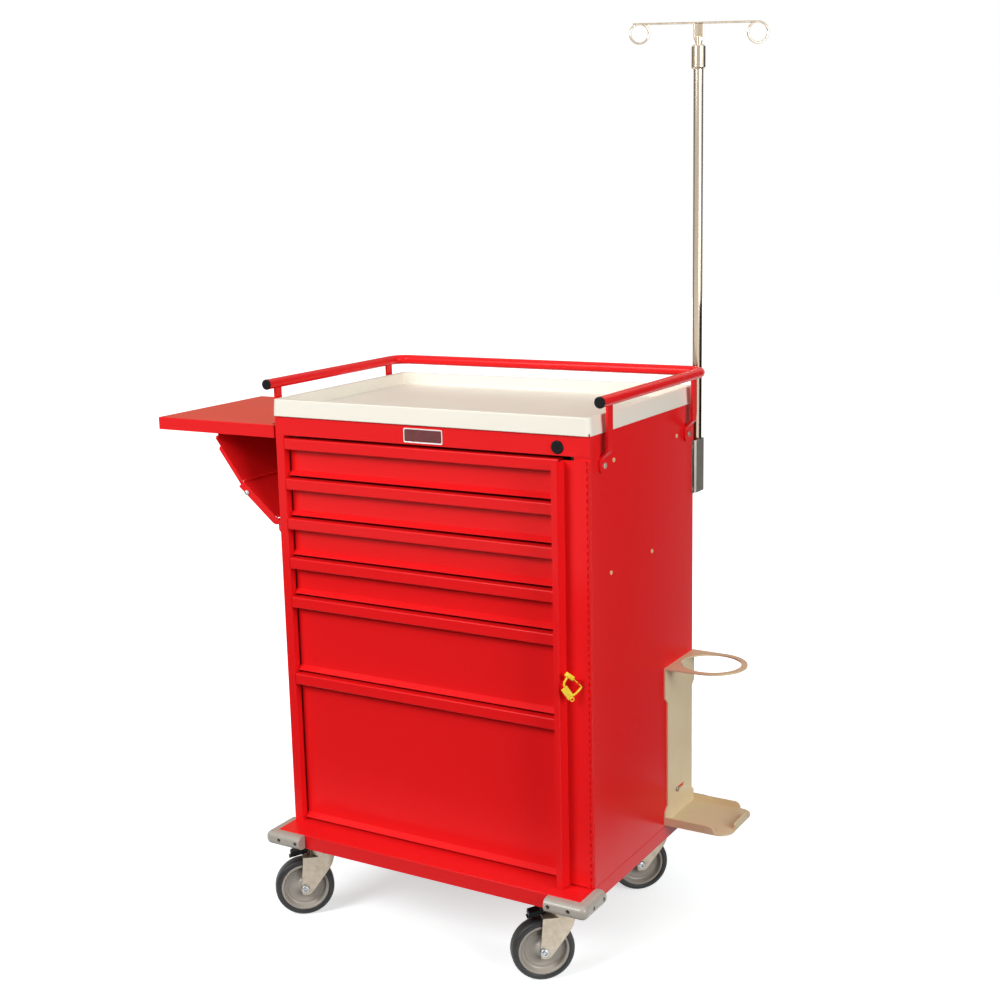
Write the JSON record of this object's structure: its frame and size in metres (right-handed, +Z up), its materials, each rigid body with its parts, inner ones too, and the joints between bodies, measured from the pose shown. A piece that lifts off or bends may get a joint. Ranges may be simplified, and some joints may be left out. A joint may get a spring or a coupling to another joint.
{
  "type": "crash cart",
  "caption": "Steel emergency cart on swivel casters with drawers behind a swinging lock bar, railed top tray, folding side shelf, telescoping infusion pole and gas cylinder bracket.",
  "frame": {"origin": "centre of the bottom of the whole cart's bounding box, on the floor", "axes": "+Z up, drawer fronts face -Y, +X to the right of someone facing the drawers"},
  "size_m": [1.0774, 0.6122, 1.6693],
  "materials": {
    "red_paint": "semi-gloss powder coat",
    "cream_plastic": "satin",
    "beige_paint": "semi-gloss powder coat",
    "stainless": "polished",
    "brushed_stainless": "brushed",
    "zinc": "zinc plated",
    "brass": "yellow passivated",
    "bumper_grey": "satin",
    "wheel_grey": "satin",
    "tyre_black": "satin",
    "black_plastic": "satin",
    "seal_yellow": "satin",
    "galvanised": "zinc plated",
    "nameplate_metal": "satin"
  },
  "bodies": {
    "cart": {"left_side_panel": "red_paint", "right_side_panel": "red_paint", "header_panel": "red_paint", "top_panel": "red_paint", "back_panel": "red_paint", "header_plug": "black_plastic", "nameplate": "nameplate_metal", "base_pan": "red_paint", "base_channels": "red_paint", "slide_posts": "galvanised", "slide_channels": "galvanised", "tray": "cream_plastic", "guard_rail": "red_paint", "rail_end_caps": "black_plastic", "side_screws": "brass", "zinc_bolts": "zinc", "corner_bumpers": "bumper_grey", "lock_hinge_fixed": "red_paint", "pole_bracket": "brushed_stainless", "pole_tube": "stainless", "tank_bracket": "beige_paint", "shelf_hinge_fixed": "red_paint", "brace_wall_bracket": "red_paint", "caster_plates": "zinc"},
    "pole_collar": {"pole_collar": "stainless"},
    "pole_rod": {"pole_rod": "stainless", "hook_bar": "stainless"},
    "lock_bar": {"lock_bar": "red_paint", "lock_hinge_moving": "red_paint", "seal": "seal_yellow"},
    "shelf": {"shelf_panel": "red_paint", "brace_shelf_bracket": "red_paint"},
    "brace_lower": {"brace_lower_leaf": "red_paint"},
    "brace_upper": {"brace_upper_leaf": "red_paint"},
    "drawer_1": {"drawer_1_front": "red_paint", "drawer_1_box": "red_paint"},
    "drawer_2": {"drawer_2_front": "red_paint", "drawer_2_box": "red_paint"},
    "drawer_3": {"drawer_3_front": "red_paint", "drawer_3_box": "red_paint"},
    "drawer_4": {"drawer_4_front": "red_paint", "drawer_4_box": "red_paint"},
    "drawer_5": {"drawer_5_front": "red_paint", "drawer_5_box": "red_paint"},
    "drawer_6": {"drawer_6_front": "red_paint", "drawer_6_box": "red_paint"},
    "front_left_swivel": {"front_left_fork": "zinc"},
    "front_left_wheel": {"front_left_wheel": "wheel_grey", "front_left_tyre": "tyre_black"},
    "front_left_pedal": {"front_left_brake_pedal": "black_plastic"},
    "front_right_swivel": {"front_right_fork": "zinc"},
    "front_right_wheel": {"front_right_wheel": "wheel_grey", "front_right_tyre": "tyre_black"},
    "front_right_pedal": {"front_right_brake_pedal": "black_plastic"},
    "rear_left_swivel": {"rear_left_fork": "zinc"},
    "rear_left_wheel": {"rear_left_wheel": "wheel_grey", "rear_left_tyre": "tyre_black"},
    "rear_right_swivel": {"rear_right_fork": "zinc"},
    "rear_right_wheel": {"rear_right_wheel": "wheel_grey", "rear_right_tyre": "tyre_black"}
  },
  "joints": [
    {"name": "drawer_1_slide", "type": "slide", "parent": "cart", "child": "drawer_1", "axis": [0, -1, 0], "range_m": [0, 0.305]},
    {"name": "drawer_2_slide", "type": "slide", "parent": "cart", "child": "drawer_2", "axis": [0, -1, 0], "range_m": [0, 0.305]},
    {"name": "drawer_3_slide", "type": "slide", "parent": "cart", "child": "drawer_3", "axis": [0, -1, 0], "range_m": [0, 0.305]},
    {"name": "drawer_4_slide", "type": "slide", "parent": "cart", "child": "drawer_4", "axis": [0, -1, 0], "range_m": [0, 0.305]},
    {"name": "drawer_5_slide", "type": "slide", "parent": "cart", "child": "drawer_5", "axis": [0, -1, 0], "range_m": [0, 0.305]},
    {"name": "drawer_6_slide", "type": "slide", "parent": "cart", "child": "drawer_6", "axis": [0, -1, 0], "range_m": [0, 0.305]},
    {"name": "lock_bar_hinge", "type": "hinge", "parent": "cart", "child": "lock_bar", "pos_m": [0.40285, -0.23154, 0.562], "axis": [0, 0, 1], "range_deg": [0, 115]},
    {"name": "shelf_hinge", "type": "hinge", "parent": "cart", "child": "shelf", "pos_m": [-0.24995, -0.04209, 0.9405], "axis": [0, -1, 0], "range_deg": [0, 80]},
    {"name": "brace_wall_hinge", "type": "hinge", "parent": "cart", "child": "brace_lower", "pos_m": [-0.26275, -0.07034, 0.786], "axis": [0, -1, 0], "range_deg": [0, 129.34]},
    {"name": "brace_knee_hinge", "type": "hinge", "parent": "brace_lower", "child": "brace_upper", "pos_m": [-0.33825, -0.07034, 0.8485], "axis": [0, -1, 0], "range_deg": [-164.78, 0]},
    {"name": "pole_collar_twist", "type": "hinge", "parent": "cart", "child": "pole_collar", "pos_m": [0.39965, 0.23431, 1.60775], "axis": [0, 0, 1], "range_deg": [0, 120]},
    {"name": "pole_rod_slide", "type": "slide", "parent": "cart", "child": "pole_rod", "axis": [0, 0, 1], "range_m": [0, 0.5]},
    {"name": "front_left_swivel", "type": "hinge", "parent": "cart", "child": "front_left_swivel", "pos_m": [-0.18475, -0.22609, 0.14], "axis": [0, 0, 1], "continuous": true},
    {"name": "front_left_roll", "type": "hinge", "parent": "front_left_swivel", "child": "front_left_wheel", "pos_m": [-0.21616, -0.25244, 0.0575], "axis": [-0.6428, 0.766, 0], "continuous": true},
    {"name": "front_left_brake", "type": "hinge", "parent": "front_left_swivel", "child": "front_left_pedal", "pos_m": [-0.20926, -0.24666, 0.1275], "axis": [0.6428, -0.766, 0], "range_deg": [0, 8]},
    {"name": "front_right_swivel", "type": "hinge", "parent": "cart", "child": "front_right_swivel", "pos_m": [0.34325, -0.22609, 0.14], "axis": [0, 0, 1], "continuous": true},
    {"name": "front_right_roll", "type": "hinge", "parent": "front_right_swivel", "child": "front_right_wheel", "pos_m": [0.31184, -0.25244, 0.0575], "axis": [-0.6428, 0.766, 0], "continuous": true},
    {"name": "front_right_brake", "type": "hinge", "parent": "front_right_swivel", "child": "front_right_pedal", "pos_m": [0.31874, -0.24666, 0.1275], "axis": [0.6428, -0.766, 0], "range_deg": [0, 8]},
    {"name": "rear_left_swivel", "type": "hinge", "parent": "cart", "child": "rear_left_swivel", "pos_m": [-0.18475, 0.17891, 0.14], "axis": [0, 0, 1], "continuous": true},
    {"name": "rear_left_roll", "type": "hinge", "parent": "rear_left_swivel", "child": "rear_left_wheel", "pos_m": [-0.21616, 0.15256, 0.0575], "axis": [-0.6428, 0.766, 0], "continuous": true},
    {"name": "rear_right_swivel", "type": "hinge", "parent": "cart", "child": "rear_right_swivel", "pos_m": [0.34325, 0.17891, 0.14], "axis": [0, 0, 1], "continuous": true},
    {"name": "rear_right_roll", "type": "hinge", "parent": "rear_right_swivel", "child": "rear_right_wheel", "pos_m": [0.31184, 0.15256, 0.0575], "axis": [-0.6428, 0.766, 0], "continuous": true}
  ],
  "couplings": [
    {"joint": "brace_wall_hinge", "follows": "shelf_hinge", "ratio": 1.6166},
    {"joint": "brace_knee_hinge", "follows": "shelf_hinge", "ratio": -2.0597}
  ]
}
